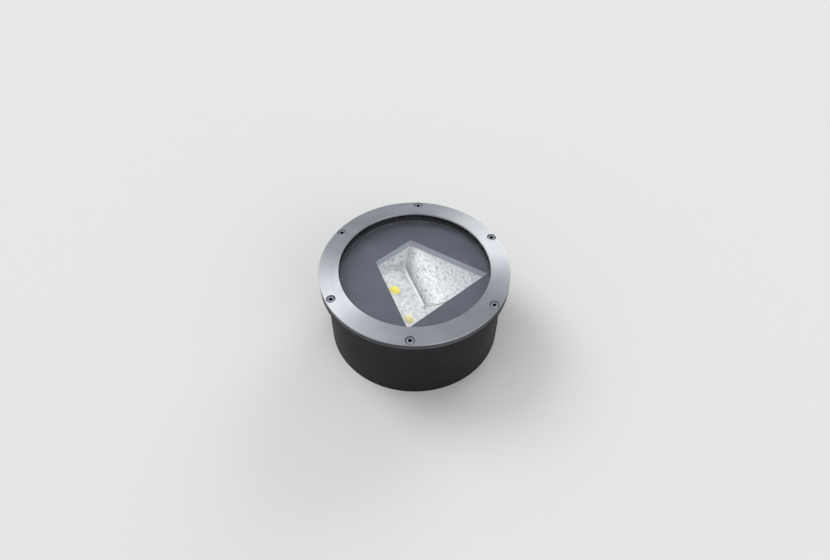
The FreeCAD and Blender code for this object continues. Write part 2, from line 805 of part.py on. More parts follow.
def between_ends(short, long):
    """Solid between two end sections, each a closed run of edges in the same order."""
    faces = [Part.Face(Part.Wire(short)), Part.Face(Part.Wire(long))]
    for a, b in zip(short, long):
        if isinstance(a.Curve, Part.Line):
            faces.append(face_of([a.firstVertex(True).Point, a.lastVertex(True).Point,
                                  b.lastVertex(True).Point, b.firstVertex(True).Point]))
        else:
            faces.append(Part.makeRuledSurface(a, b))
    shell = Part.makeShell(faces)
    shell.sewShape()
    solid = Part.makeSolid(shell)
    return solid if solid.Volume > 0 else solid.reversed()


def panel_edges(point_at):
    """Section of the LED panel in an end plane."""
    thick = sheet_t * math.hypot(1, panel_drop / panel_w)
    section = [(0, collar_z), (panel_w, bead_z), (panel_w, bead_z - thick), (0, collar_z - thick)]
    points = [point_at(gap, z) for gap, z in section]
    return Part.makePolygon(points + points[:1]).Edges


def led_panel():
    """Sloping panel with its rolled bead and two round LED holes."""
    sheet = between_ends(panel_edges(at_short_end), panel_edges(at_long_end))
    start, end = at_short_end(panel_w, bead_z), at_long_end(panel_w, bead_z)
    run = (end - start).normalize()
    bead = Part.makeCylinder(bead_r, (end - start).Length - 3 * bead_r, start + run * bead_r, run)
    body = fused([sheet, bead] + hooks(left_leg))
    for place in led_frames():
        hole = rod(emitter_r + seat_gap, -sheet_t - past, past)
        body = body.cut(hole.transformed(place.toMatrix()))
    return within_mask(body)


def face_curve(point_at, corner_point, bulge, thick):
    """Section of the main face in an end plane: gutter's edge, shoulder, window's corner."""
    foot = point_at(panel_w + gutter_w + thick / 2, gutter_z - thick)
    corner = at_height(corner_point[0], collar_z) + corner_point[1] * thick
    up_slope = point_at(panel_w + gutter_w + thick / 2, collar_z)
    middle = (foot + corner) * 0.5
    shoulder = middle + (up_slope - middle) * bulge
    low = point_at(panel_w, collar_z - thick) - point_at(panel_w, collar_z)
    curve = Part.BezierCurve()
    curve.setPoles([foot, shoulder + low, corner])
    return curve.toShape(), foot, corner


def main_edges(point_at, corner_point, bulge):
    """Closed section of the main reflector in an end plane."""
    inner, foot, top = face_curve(point_at, corner_point, bulge, 0.0)
    outer, foot_back, top_back = face_curve(point_at, corner_point, bulge, sheet_t)
    riser_z = bead_z - bead_r
    riser = point_at(panel_w, riser_z)
    root = point_at(panel_w, gutter_z)
    root_back = point_at(panel_w - sheet_t, gutter_z - sheet_t)
    riser_back = point_at(panel_w - sheet_t, riser_z)
    return [Part.makeLine(riser, root), Part.makeLine(root, foot), inner, Part.makeLine(top, top_back), outer,
            Part.makeLine(foot_back, root_back), Part.makeLine(root_back, riser_back),
            Part.makeLine(riser_back, riser)]


def outwards(side):
    """Unit vector along an end side of the window, towards the right leg."""
    start, end = side
    run = (end - start).normalize()
    return run * math.copysign(1, run.dot(inward(left_leg)))


def main_reflector():
    """Riser under the bead, gutter, and the curved face up to the right leg."""
    short = main_edges(at_short_end, (corner_top, outwards(short_side)), short_end_bulge)
    long = main_edges(at_long_end, (corner_right, outwards(long_side)), long_end_bulge)
    return within_mask(fused([between_ends(short, long)] + hooks(right_leg)))


def end_reflector(point_at, side, corner, far_corner, bulge):
    """Flat end piece that closes the sheets' ends, from the collar down to the gutter."""
    outer, foot_back, top_back = face_curve(point_at, (far_corner, outwards(side)), bulge, sheet_t)
    start = at_height(corner, collar_z)
    riser_back = point_at(panel_w - sheet_t, bead_z - bead_r)
    root_back = point_at(panel_w - sheet_t, gutter_z - sheet_t)
    points = [top_back, start, point_at(panel_w, bead_z), riser_back, root_back, foot_back]
    edges = [Part.makeLine(points[i], points[i + 1]) for i in range(len(points) - 1)] + [outer]
    face = Part.Face(Part.Wire(Part.__sortEdges__(edges)))
    normal = (foot_back - start).cross(top_back - start).normalize()
    down = normal * -math.copysign(sheet_t, normal.z)
    return within_mask(fused([face.extrude(down)] + hooks(side)))


def short_end_reflector():
    """Steep end piece under the window's short side."""
    return end_reflector(at_short_end, short_side, corner_left, corner_top, short_end_bulge)


def long_end_reflector():
    """Shallow end piece under the window's long side."""
    return end_reflector(at_long_end, long_side, corner_bottom, corner_right, long_end_bulge)


def reflector_nuts():
    """Nuts that hold the reflectors' tabs up to the mask."""
    top = mask_lo_z - sheet_t
    nuts = [hex_nut(stud_nut_hex, stud_r + thread_gap, top - stud_nut_t, top, p) for p in all_stud_places()]
    return Part.makeCompound(nuts)


# ---- LEDs -------------------------------------------------------------------
def panel_axes():
    """Directions of the LED panel: along the leg, and out of its face."""
    along = (corner_bottom - corner_left).normalize()
    out = along.cross((inward(left_leg) * panel_w - V(0, 0, panel_drop)).normalize())
    return along, out * math.copysign(1, out.z)


def led_frames():
    """Placement of each LED: origin on the panel's face, X along the leg, Z out of the panel."""
    along, out = panel_axes()
    turn = FreeCAD.Rotation(along, out.cross(along), out, "XZY")
    frames = []
    for i in range(2):
        place = corner_left + along * (led_first + led_pitch * i) + inward(left_leg) * led_inset
        frames.append(FreeCAD.Placement(at_height(place, collar_z - led_inset * panel_drop / panel_w), turn))
    return frames


def at_leds(shape):
    """A shape made in an LED's own frame, at both LEDs."""
    return Part.makeCompound([shape.transformed(frame.toMatrix()) for frame in led_frames()])


def plate(length, width, z_lo, z_hi):
    """Flat block centred on Z."""
    return block(-length / 2, length / 2, -width / 2, width / 2, z_lo, z_hi)


def led_screw_holes(radius, z_lo, z_hi):
    """The two screw holes of an LED holder, in the LED's frame."""
    return [rod(radius, z_lo, z_hi, V(side * led_screw_offset, 0, 0)) for side in (-1, 1)]


holder_top = -sheet_t
holder_bottom = holder_top - holder_t
pad_bottom = holder_bottom - pad_t


def led_boards():
    """Metal-core boards, held down by the holders."""
    return at_leds(plate(led_board_w, led_board_w, holder_bottom, holder_bottom + led_board_t))


def led_phosphors():
    """Emitters: a disc on the board that ends in a shallow dome above the panel's face."""
    dome_r = (emitter_r ** 2 + emitter_rise ** 2) / (2 * emitter_rise)
    stem = rod(emitter_r, holder_bottom + led_board_t, emitter_rise)
    dome = Part.makeSphere(dome_r, V(0, 0, emitter_rise - dome_r))
    below = rod(emitter_r, holder_bottom + led_board_t, 0)
    return at_leds(fused([below, stem.common(dome)]))


def led_holders():
    """Clamps with a pocket for the board and a hole for the light."""
    body = plate(holder_len, holder_w, holder_bottom, holder_top)
    low, high = holder_bottom - past, holder_top + past
    pocket = plate(led_board_w + seat_gap, led_board_w + seat_gap, low, holder_bottom + led_board_t)
    tools = [pocket, rod(emitter_r + seat_gap, low, high)]
    tools += led_screw_holes(led_screw_head_r + seat_gap, holder_top - holder_t / 2, high)
    tools += led_screw_holes(led_screw_r + screw_gap, low, high)
    return at_leds(cut_all(body, tools))


def led_screws():
    """Two small screws per holder."""
    head_h = holder_t / 2 - seat_gap
    screw = socket_screw(led_screw_r, led_screw_len, led_screw_head_r, head_h, led_screw_hex)
    seat = holder_top - holder_t / 2
    return at_leds(Part.makeCompound([moved(screw, V(s * led_screw_offset, 0, seat)) for s in (-1, 1)]))


def thermal_pads():
    """Soft pads between board and heat sink."""
    pad = plate(holder_len, holder_w, pad_bottom, holder_bottom)
    return at_leds(cut_all(pad, led_screw_holes(led_screw_r + screw_gap, pad_bottom - past, 0)))


def axis_on_leg():
    """The swivel axis seen from the left leg: distance along it and from it."""
    along = (corner_bottom - corner_left).normalize()
    return (-corner_left).dot(along), (-corner_left).dot(inward(left_leg))


sink_w = axis_on_leg()[1] - disc_spring_r - sink_clear - sink_inset


def sink_point(along_leg, leg_gap, z):
    """Point of the heat sink, by distance along the left leg and from it."""
    along = (corner_bottom - corner_left).normalize()
    return at_height(corner_left + along * along_leg + inward(left_leg) * leg_gap, z)


def sink_span():
    """Where the heat sink starts and ends along the left leg."""
    return led_first - holder_len / 2, led_first + led_pitch + sink_front


def sink_top(leg_gap):
    """Height of the heat sink's sloping top at a distance from the left leg."""
    slope = panel_drop / panel_w
    return collar_z - leg_gap * slope + pad_bottom * math.hypot(1, slope)


def sink_block(gap_lo, gap_hi, z_lo, top_drop):
    """Stretch of the heat sink between two distances from the leg, under the sloping top."""
    start, end = sink_span()
    profile = [sink_point(start, gap_lo, z_lo), sink_point(start, gap_hi, z_lo),
               sink_point(start, gap_hi, sink_top(gap_hi) - top_drop),
               sink_point(start, gap_lo, sink_top(gap_lo) - top_drop)]
    return face_of(profile).extrude(sink_point(end, 0, 0) - sink_point(start, 0, 0))


def sink_screw_places():
    """Where the heat sink is screwed to the carrier, in plan."""
    start, end = sink_span()
    mid = sink_inset + sink_w / 2
    return [sink_point(start + (end - start) * share, mid, 0) for share in sink_screw_shares]


def heat_sink():
    """Extruded wedge from the carrier up to the LEDs, with channels through it."""
    body = sink_block(sink_inset, sink_inset + sink_w, carrier_hi_z, 0)
    channel = (sink_w - sink_wall * (sink_channels + 1)) / sink_channels
    tools = []
    for i in range(sink_channels):
        lo = sink_inset + sink_wall + i * (channel + sink_wall)
        tools.append(sink_block(lo, lo + channel, carrier_hi_z + sink_base_t, sink_top_t))
    hole_hi_z = carrier_lo_z + sink_screw_len + past
    tools += [rod(mask_screw_r + thread_gap, carrier_hi_z - past, hole_hi_z, p) for p in sink_screw_places()]
    tip = holder_top - holder_t / 2 - led_screw_len
    tools += at_leds(Part.makeCompound(led_screw_holes(led_screw_r + thread_gap, tip - past, 0))).Solids
    return cut_all(body, tools)


def heat_sink_screws():
    """Countersunk screws from under the carrier."""
    screw = countersunk_screw(mask_screw_r, sink_screw_len)
    return Part.makeCompound([moved(screw, at_height(p, carrier_lo_z)) for p in sink_screw_places()])


# ---- Leads ------------------------------------------------------------------
def led_connector():
    """Connector on the side of the heat sink."""
    mid = axis_on_leg()[0]
    lo, hi = mid - connector_len / 2, mid + connector_len / 2
    near = sink_inset + sink_w
    far = near + connector_depth
    z_lo = bush_top_z + body_gap * 2
    outline = [sink_point(lo, near, 0), sink_point(hi, near, 0), sink_point(hi, far, 0), sink_point(lo, far, 0)]
    return prism(outline, z_lo, z_lo + connector_h)


def piped(points, bend):
    """Round lead along straight runs, its corners rounded with arcs."""
    edges = []
    start = points[0]
    for i in range(1, len(points) - 1):
        back = (points[i - 1] - points[i]).normalize()
        ahead = (points[i + 1] - points[i]).normalize()
        half = math.acos(max(-1.0, min(1.0, back.dot(ahead)))) / 2
        reach = bend / math.tan(half)
        enter = points[i] + back * reach
        leave = points[i] + ahead * reach
        middle = points[i] + (back + ahead).normalize() * (bend / math.sin(half) - bend)
        if (enter - start).Length > 1e-6:
            edges.append(Part.makeLine(start, enter))
        edges.append(Part.Arc(enter, middle, leave).toShape())
        start = leave
    if (points[-1] - start).Length > 1e-6:
        edges.append(Part.makeLine(start, points[-1]))
    path = Part.Wire(edges)
    ring = Part.Wire(Part.makeCircle(lead_r, points[0], points[1] - points[0]))
    return path.makePipeShell([ring], True, False)


def led_lead_upper():
    """From the swivel axis, over the bush, into the connector; its bend fits the room that is left."""
    mid, distance = axis_on_leg()
    plug_gap = sink_inset + sink_w + connector_depth
    bend = min(lead_bend, distance - plug_gap - lead_r / 3)
    return piped([V(0, 0, lead_split_z), V(0, 0, lead_z), sink_point(mid, plug_gap, lead_z)], bend)


def led_lead_lower():
    """From the driver's face to the axis, then up the hollow bush."""
    low = gear_top_z - lead_exit_depth
    return piped([V(0, -driver_offset, low), V(0, 0, low), V(0, 0, lead_split_z)], lead_bend)


def driver_lead():
    """From the terminal block to the driver, with a little slack."""
    x = block_size[0] / 2 - connector_h
    z = gear_top_z - driver_lead_depth
    half = driver_offset / 2
    points = [V(x, 2 * half, z), V(x, half, z), V(x, 0, z - driver_lead_sag), V(x, -half, z), V(x, -2 * half, z)]
    return piped(points, lead_bend)


# ---- Gear -------------------------------------------------------------------
def driver():
    """LED driver: box with an ear at each end."""
    length, width, height = driver_size
    half = length / 2
    y_hi = -driver_offset
    ears = block(-half, half, y_hi - width, y_hi, gear_top_z - ear_t, gear_top_z)
    box = block(driver_ear - half, half - driver_ear, y_hi - width, y_hi, gear_top_z - height, gear_top_z)
    upright = [e for e in box.Edges if abs(e.Vertexes[0].Z - e.Vertexes[1].Z) > ear_t]
    body = fused([ears, box.makeFillet(ear_t, upright)])
    return cut_all(body, [rod(gear_screw_r + screw_gap, gear_top_z - ear_t - past, gear_top_z + past, p)
                          for p in gear_screw_places()[:2]])


def clamp_places():
    """The terminal block's poles, in plan."""
    mid_y = driver_offset + block_size[1] / 2
    return [V(block_pitch * i, mid_y, 0) for i in (-1, 0, 1)]


def terminal_block():
    """Three-pole block, its wells open towards the cover."""
    length, width, height = block_size
    low = gear_top_z - height
    body = block(-length / 2, length / 2, driver_offset, driver_offset + width, low, gear_top_z)
    tools = [rod(clamp_screw_r + seat_gap, low - past, low + height / 2, p) for p in clamp_places()]
    for place in gear_screw_places()[2:]:
        tools.append(rod(gear_screw_r + screw_gap, low - past, gear_top_z + past, place))
        tools.append(rod(gear_screw_head_r + seat_gap, low - past, gear_top_z - ear_t, place))
    return cut_all(body, tools)


def terminal_clamp_screws():
    """Slotted wire clamp screws, at the bottom of the wells."""
    high = gear_top_z - block_size[2] / 2
    low = high - clamp_screw_h
    half = clamp_slot_w / 2
    slot = block(-clamp_screw_r, clamp_screw_r, -half, half, low - past, low + clamp_slot_w)
    screw = rod(clamp_screw_r, low, high).cut(slot)
    return Part.makeCompound([moved(screw, place) for place in clamp_places()])


def gear_screws():
    """Four screws up into the housing's floor."""
    length = ear_t + gear_screw_grip - seat_gap
    screw = socket_screw(gear_screw_r, length, gear_screw_head_r, gear_screw_head_h, gear_screw_hex)
    screw = flipped(screw, gear_top_z - ear_t)
    return Part.makeCompound([moved(screw, p) for p in gear_screw_places()])


def earth_place():
    """Where the earth stud is, in plan."""
    return polar(earth_radius, earth_bearing_deg)


def earth_stud():
    """Stud in the floor with its washer and nut."""
    place = earth_place()
    stud = rod(gear_screw_r, gear_top_z - earth_stud_len, gear_top_z + gear_screw_grip - seat_gap, place)
    washer_lo_z = gear_top_z - earth_washer_t
    washer = rod(earth_washer_r, washer_lo_z, gear_top_z, place)
    nut = hexagon(stud_nut_hex, washer_lo_z - earth_nut_t, washer_lo_z, place)
    return fused([stud, washer, nut])


# ---- Write every sub-part ---------------------------------------------------
subparts = [
    installation_sleeve, trim_ring, trim_screws, cover_glass, glass_gasket, flange_gasket, housing,
    bottom_cover, cover_seal, cover_screws, breather_valve, gland_bodies, gland_seals, gland_nuts,
    gland_locknuts, friction_washer, swivel_bush, disc_spring, swivel_nut, driver, terminal_block,
    terminal_clamp_screws, gear_screws, earth_stud, driver_lead, led_lead_lower, optic_carrier,
    mask_plate, mask_posts, mask_screws, main_reflector, led_panel, short_end_reflector,
    long_end_reflector, reflector_nuts, led_boards, led_phosphors, led_holders, led_screws,
    thermal_pads, heat_sink, heat_sink_screws, led_connector, led_lead_upper,
]

os.makedirs("parts", exist_ok=True)
for make in subparts:
    write(make.__name__, make())
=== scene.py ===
# %% [markdown]
# # An in ground well light
# The light is a steel trim ring with a walk-over glass, a dark mask under it, and a hammered aluminium
# reflector box that shows through the mask's window. The imported CAD model gives every part its place.
# This lesson dresses it: a camera, a floor and lamps, four reflector sheets modelled again with real
# hammer marks, and a finish for every other part. The model is loaded first. Nothing made here may
# change it.

# %% Load the imported model
import bpy
import math
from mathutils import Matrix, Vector


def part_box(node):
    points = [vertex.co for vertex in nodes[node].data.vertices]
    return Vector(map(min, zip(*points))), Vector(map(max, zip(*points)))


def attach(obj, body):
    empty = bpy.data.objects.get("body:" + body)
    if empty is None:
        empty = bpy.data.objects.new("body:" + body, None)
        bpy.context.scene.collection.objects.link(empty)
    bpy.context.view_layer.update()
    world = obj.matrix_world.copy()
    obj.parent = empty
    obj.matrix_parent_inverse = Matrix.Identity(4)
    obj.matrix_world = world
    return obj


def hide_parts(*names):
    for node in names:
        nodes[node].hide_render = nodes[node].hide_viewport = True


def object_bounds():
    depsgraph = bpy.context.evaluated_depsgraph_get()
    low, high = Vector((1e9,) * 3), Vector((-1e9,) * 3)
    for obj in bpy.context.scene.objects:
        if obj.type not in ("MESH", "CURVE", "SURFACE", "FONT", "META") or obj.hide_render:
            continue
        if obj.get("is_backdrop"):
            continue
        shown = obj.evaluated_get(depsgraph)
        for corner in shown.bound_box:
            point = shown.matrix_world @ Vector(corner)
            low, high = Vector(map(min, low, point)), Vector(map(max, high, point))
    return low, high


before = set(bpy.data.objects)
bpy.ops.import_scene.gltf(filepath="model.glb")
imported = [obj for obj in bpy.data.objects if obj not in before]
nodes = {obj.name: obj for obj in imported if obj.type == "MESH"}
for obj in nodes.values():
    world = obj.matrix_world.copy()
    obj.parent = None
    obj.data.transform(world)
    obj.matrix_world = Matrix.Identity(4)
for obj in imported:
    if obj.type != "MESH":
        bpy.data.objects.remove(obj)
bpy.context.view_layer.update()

# %% [markdown]
# ## Millimetres, colours and nodes
# Drawings of a small product are in millimetres and Blender is in metres, so one constant joins them.
# Paint and metal colours are read as sRGB hex values, and Blender's sockets take linear ones. Every
# material is a small tree of nodes. One function adds a node with its settings and its links, so the
# cells below read like a parts list.

# %% Units, colours and one node helper
MM = 0.001


def mm(x, y, z):
    """A point given in millimetres."""
    return Vector((x, y, z)) * MM


def srgb(code):
    """An sRGB hex colour as linear RGBA."""
    channels = [int(code[i:i + 2], 16) / 255 for i in (1, 3, 5)]
    return (*[c / 12.92 if c <= 0.04045 else ((c + 0.055) / 1.055) ** 2.4 for c in channels], 1.0)


def add(tree, kind, inputs=None, **settings):
    """One node: its settings by name, and its inputs as numbers, colours or the sockets they come from."""
    made = tree.nodes.new("ShaderNode" + kind)
    for name, value in settings.items():
        setattr(made, name, value)
    for name, value in (inputs or {}).items():
        if isinstance(value, bpy.types.NodeSocket):
            tree.links.new(value, made.inputs[name])
        else:
            made.inputs[name].default_value = value
    return made


print("mid grey #777777 is", round(srgb("#777777")[0], 3), "linear")

# %% [markdown]
# ## Camera
# The photograph looks down on the ring from in front. The ring's two edges and its six screws are
# circles of known size, so the camera's place, tilt and lens could be worked out from them, and are
# set here as numbers. It has no roll, no shift and no blur.

# %% Camera
camera_data = bpy.data.cameras.new("camera")
camera_data.sensor_width = 36.0
camera_data.lens = 28.28
camera = bpy.data.objects.new("camera", camera_data)
bpy.context.scene.collection.objects.link(camera)
camera.location = mm(21.97, -479.07, 626.80)
look = Vector((-0.02929, 0.65602, -0.75417))
camera.rotation_mode = "QUATERNION"
camera.rotation_quaternion = look.to_track_quat("-Z", "Y")
bpy.context.scene.camera = camera
bpy.context.scene.view_settings.view_transform = "Standard"
print("camera looks down at", round(math.degrees(math.asin(-look.z)), 1), "degrees")

# %% [markdown]
# ## Floor
# A well light is sold standing on a bench, and that is how its whole body can be seen: the sleeve's
# foot is on a plain pale floor. The floor is one large plane. Its colour alone makes it pale, so the
# lamps can stay at a level that leaves the metal its greys.

# %% Floor
bpy.ops.object.select_all(action="DESELECT")
bpy.ops.mesh.primitive_plane_add(size=12.0, location=(0, 0, 0))
floor = bpy.context.active_object
floor.name = "floor"
floor_paint = bpy.data.materials.new("matt floor paint")
floor_paint.use_nodes = True
floor_shader = floor_paint.node_tree.nodes["Principled BSDF"]
floor_shader.inputs["Base Color"].default_value = srgb("#DFDEDA")
floor_shader.inputs["Roughness"].default_value = 0.9
floor_shader.inputs["Specular IOR Level"].default_value = 0.2
floor.data.materials.append(floor_paint)
floor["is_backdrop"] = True
print("floor at z = 0,", round(floor.dimensions.x, 1), "m wide")

# %% [markdown]
# ## Sky
# Brushed steel shows what is round it. In a studio that is a pale wall low down and a greyer ceiling,
# which gives the ring its bluish middle grey. The sky is a gradient on the height of the direction:
# pale at the horizon, and blue-grey above about 40 degrees.

# %% Sky
world = bpy.data.worlds.new("studio")
bpy.context.scene.world = world
world.use_nodes = True
sky = world.node_tree
sky.nodes.clear()
direction = add(sky, "TexCoord")
height = add(sky, "SeparateXYZ", {"Vector": direction.outputs["Generated"]})
rise = add(sky, "MapRange", {"Value": height.outputs["Z"], "From Min": 0.42, "From Max": 0.66},
           interpolation_type="SMOOTHSTEP")
tint = add(sky, "Mix", {0: rise.outputs["Result"], 6: srgb("#EDEEF0"), 7: srgb("#ABB0BA")},
           data_type="RGBA")
glow = add(sky, "Background", {"Color": tint.outputs[2], "Strength": 1.0})
add(sky, "OutputWorld", {"Surface": glow.outputs["Background"]})
print("sky from #EDEEF0 at the horizon to #ABB0BA overhead")

# %% [markdown]
# ## Lamps
# The two bright wedges on the ring, low on its left and high on its right, are one lamp seen by the
# round brush lines: a soft box on the left, a little behind the light. It also throws the soft shadow
# to the lower right. A second, low one behind on the right brightens the far wedge. A weak one in front
# reaches the short end of the reflector box, and another overhead fills it. All are suns with a wide
# disc: far soft boxes, which light the whole floor evenly out to the horizon.

# %% Lamps
def softbox(name, azimuth, elevation, width, radiance):
    """A distant round soft box: its width in degrees, and how bright its face is."""
    data = bpy.data.lights.new(name, "SUN")
    data.angle = math.radians(width)
    data.energy = radiance * 2 * math.pi * (1 - math.cos(data.angle / 2))
    lamp = bpy.data.objects.new(name, data)
    bpy.context.scene.collection.objects.link(lamp)
    a, e = math.radians(azimuth), math.radians(elevation)
    towards = Vector((math.cos(a) * math.cos(e), math.sin(a) * math.cos(e), math.sin(e)))
    lamp.rotation_mode = "QUATERNION"
    lamp.rotation_quaternion = (-towards).to_track_quat("-Z", "Y")
    print(name, "at azimuth", azimuth, "elevation", elevation, "gives", round(data.energy, 2), "W/m2")


softbox("key softbox", 148, 46, 30, 4.6)
softbox("back softbox", 62, 19, 36, 3.4)
softbox("front softbox", 312, 30, 40, 1.2)
softbox("overhead softbox", 178, 70, 45, 0.9)

# %% [markdown]
# ## Where the reflector sheets run
# The reflector box hangs under the mask's window. Its four sheets meet at a gutter low down, and each
# sheet is ruled between two sections: one in the steep plane under the window's short side, one in the
# shallow plane under its long side. The same points place the sheets in the CAD model, so the new ones
# lie where the old ones did.

# %% Section points of the reflector box
left, top = mm(-45.05, 17.95, 75.5), mm(-6.69, 54.23, 75.5)
right, bottom = mm(80.99, 5.84, 75.5), mm(-3.82, -74.35, 75.5)
short_bead, long_bead = mm(-15.97, 34.73, 62.0), mm(13.35, -30.89, 62.0)
short_riser, long_riser = mm(-15.47, 33.61, 60.0), mm(12.08, -28.05, 60.0)
short_root, long_root = mm(-13.97, 30.26, 54.0), mm(8.28, -19.54, 54.0)
short_foot, long_foot = mm(-11.20, 32.88, 54.0), mm(11.05, -16.92, 54.0)
short_pole, long_pole = mm(-11.23, 43.96, 67.97), mm(26.81, -43.22, 74.42)
sheet_t = 1.0 * MM
grid = 0.6 * MM
sides = ((left, top), (top, right), (right, bottom), (bottom, left))
print("window sides:", [round((end - start).length / MM, 1) for start, end in sides])


# %% [markdown]
# ## Ruled sheets from rails
# A sheet metal worker rolls such a sheet between two end templates. Blender has the same move: draw
# the two template edges as curves, turn them into wires, and bridge them with enough cuts to make an
# even grid. An even grid is what the hammer marks need later, because a modifier can only push points
# that are there.

# %% Rails and strips
seam = 0.02 * MM


def only(*objects):
    """Selects these objects and nothing else, the last one active."""
    bpy.ops.object.select_all(action="DESELECT")
    for piece in objects:
        piece.select_set(True)
    bpy.context.view_layer.objects.active = objects[-1]


def rail(points, segments):
    """A wire through two points, or along the curve that three of them pull."""
    bpy.ops.object.select_all(action="DESELECT")
    bpy.ops.curve.primitive_bezier_curve_add(location=(0, 0, 0))
    wire = bpy.context.active_object
    first, last = points[0], points[-1]
    pull = points[1] if len(points) == 3 else (first + last) / 2
    wire.data.resolution_u = segments
    for knot, place in zip(wire.data.splines[0].bezier_points, (first, last)):
        knot.handle_left_type = knot.handle_right_type = "FREE"
        knot.co = place
        knot.handle_left = knot.handle_right = place + (pull - place) * 2 / 3
    bpy.ops.object.convert(target="MESH")
    return bpy.context.active_object


def strip(near, far):
    """The grid of faces between two rails."""
    segments = max(2, round(max((near[-1] - near[0]).length, (far[-1] - far[0]).length) / grid))
    rows = round(max((near[0] - far[0]).length, (near[-1] - far[-1]).length) / grid)
    only(rail(near, segments), rail(far, segments))
    bpy.ops.object.join()
    bpy.ops.object.mode_set(mode="EDIT")
    bpy.ops.mesh.select_all(action="SELECT")
    bpy.ops.mesh.bridge_edge_loops(number_cuts=rows - 1, interpolation="LINEAR")
    bpy.ops.object.mode_set(mode="OBJECT")
    return bpy.context.active_object


def joined(name, parts, facing):
    """One open sheet from its strips, its seams merged, its faces turned towards a direction."""
    only(*parts)
    bpy.ops.object.join()
    sheet = bpy.context.active_object
    sheet.name = sheet.data.name = name
    bpy.ops.object.mode_set(mode="EDIT")
    bpy.ops.mesh.select_all(action="SELECT")
    bpy.ops.mesh.remove_doubles(threshold=seam)
    bpy.ops.mesh.normals_make_consistent(inside=False)
    bpy.ops.object.mode_set(mode="OBJECT")
    if sum((face.normal * face.area for face in sheet.data.polygons), Vector()).dot(facing) < 0:
        bpy.ops.object.mode_set(mode="EDIT")
        bpy.ops.mesh.select_all(action="SELECT")
        bpy.ops.mesh.flip_normals()
        bpy.ops.object.mode_set(mode="OBJECT")
    print(name, "has", len(sheet.data.polygons), "faces")
    return sheet


up = Vector((0, 0, 1))
main_sheet = joined("hammered_main_reflector", [
    strip([short_riser, short_root], [long_riser, long_root]),
    strip([short_root, short_foot], [long_root, long_foot]),
    strip([short_foot, short_pole, top], [long_foot, long_pole, right]),
], up)
panel_sheet = joined("hammered_led_panel", [strip([left, short_bead], [bottom, long_bead])], up)


# %% [markdown]
# ## End pieces
# Each end of the box is a flat sheet whose lower edge follows the other two: down the LED panel, into
# the gutter and up the curve. It could be cut from a plate, but then its grid would not be even. So it
# is bridged in strips as well, from the straight edge under the window down to each part of that lower
# edge.

# %% End pieces
def end_piece(name, start, end, bead, root, foot, pole):
    """A flat end sheet between the window's side and the lower edge that the other sheets give."""
    run = (end - start).normalized()
    over_bead = start + run * (bead - start).dot(run)
    over_foot = start + run * (foot - start).dot(run)
    over_root = (over_bead + over_foot) / 2
    return joined(name, [
        strip([start, over_bead], [start, bead]),
        strip([over_bead, over_root], [bead, root]),
        strip([over_root, over_foot], [root, foot]),
        strip([over_foot, end], [foot, pole, end]),
    ], up)


short_sheet = end_piece("hammered_short_end", left, top, short_bead, short_root, short_foot, short_pole)
long_sheet = end_piece("hammered_long_end", bottom, right, long_bead, long_root, long_foot, long_pole)


# %% [markdown]
# ## Hammer marks
# The sheet is embossed in a mill before it is bent: shallow round dents that overlap, about 4 mm
# apart on the curved face and drawn out along it, and broader, softer ones where the LEDs sit. Cells
# of a Voronoi pattern have just that outline, and the square of the distance to a cell's middle has
# the round bottom of a dent. The pattern pushes the grid's points in, and an empty, used once as the
# pattern's ruler, gives its size and its slant.

# %% Hammer marks
def push(sheet, depth, marks, slant, pattern):
    """Moves the sheet's points along their normals by a pattern of that depth and size."""
    texture = bpy.data.textures.new("hammer marks", pattern)
    texture.noise_scale = 1.0
    if pattern == "VORONOI":
        texture.distance_metric = "DISTANCE_SQUARED"
    ruler = bpy.data.objects.new("ruler", None)
    bpy.context.scene.collection.objects.link(ruler)
    ruler.scale = (marks[0] * MM, marks[1] * MM, min(marks) * MM)
    ruler.rotation_euler = (0, 0, math.radians(slant))
    bpy.context.view_layer.update()
    move = sheet.modifiers.new("marks", "DISPLACE")
    move.texture = texture
    move.texture_coords = "OBJECT"
    move.texture_coords_object = ruler
    move.strength = depth * MM
    move.mid_level = 0.5
    if "marked" in sheet.vertex_groups:
        move.vertex_group = "marked"
    only(sheet)
    bpy.ops.object.modifier_apply(modifier="marks")
    bpy.data.objects.remove(ruler)


def hammer(sheet, *rounds):
    """Dents a sheet in rounds of (depth, size along and across, slant, pattern), and notes how far each
    point rose, from 0 at the bottom of a dent to 1 on a crest, for the finish to read."""
    before = [(point.co.copy(), point.normal.copy()) for point in sheet.data.vertices]
    for depth, marks, slant, pattern in rounds:
        push(sheet, depth, marks, slant, pattern)
    deepest = sum(depth for depth, *_ in rounds) * MM
    rises = [(point.co - place).dot(normal) / deepest + 0.5
             for point, (place, normal) in zip(sheet.data.vertices, before)]
    crest = sheet.data.attributes.new("crest", "FLOAT", "POINT")
    crest.data.foreach_set("value", rises)
    print(sheet.name, "crests from", round(min(rises), 2), "to", round(max(rises), 2))


def mark_inside(sheet, lines, fade):
    """A weight per point: none on the edges it shares with its neighbours, full a little way in."""
    group = sheet.vertex_groups.new(name="marked")
    for point in sheet.data.vertices:
        gaps = []
        for start, end in lines:
            run = (end - start).normalized()
            reach = point.co - start
            gaps.append((reach - run * reach.dot(run)).length)
        group.add([point.index], min(1.0, min(gaps) / fade), "REPLACE")


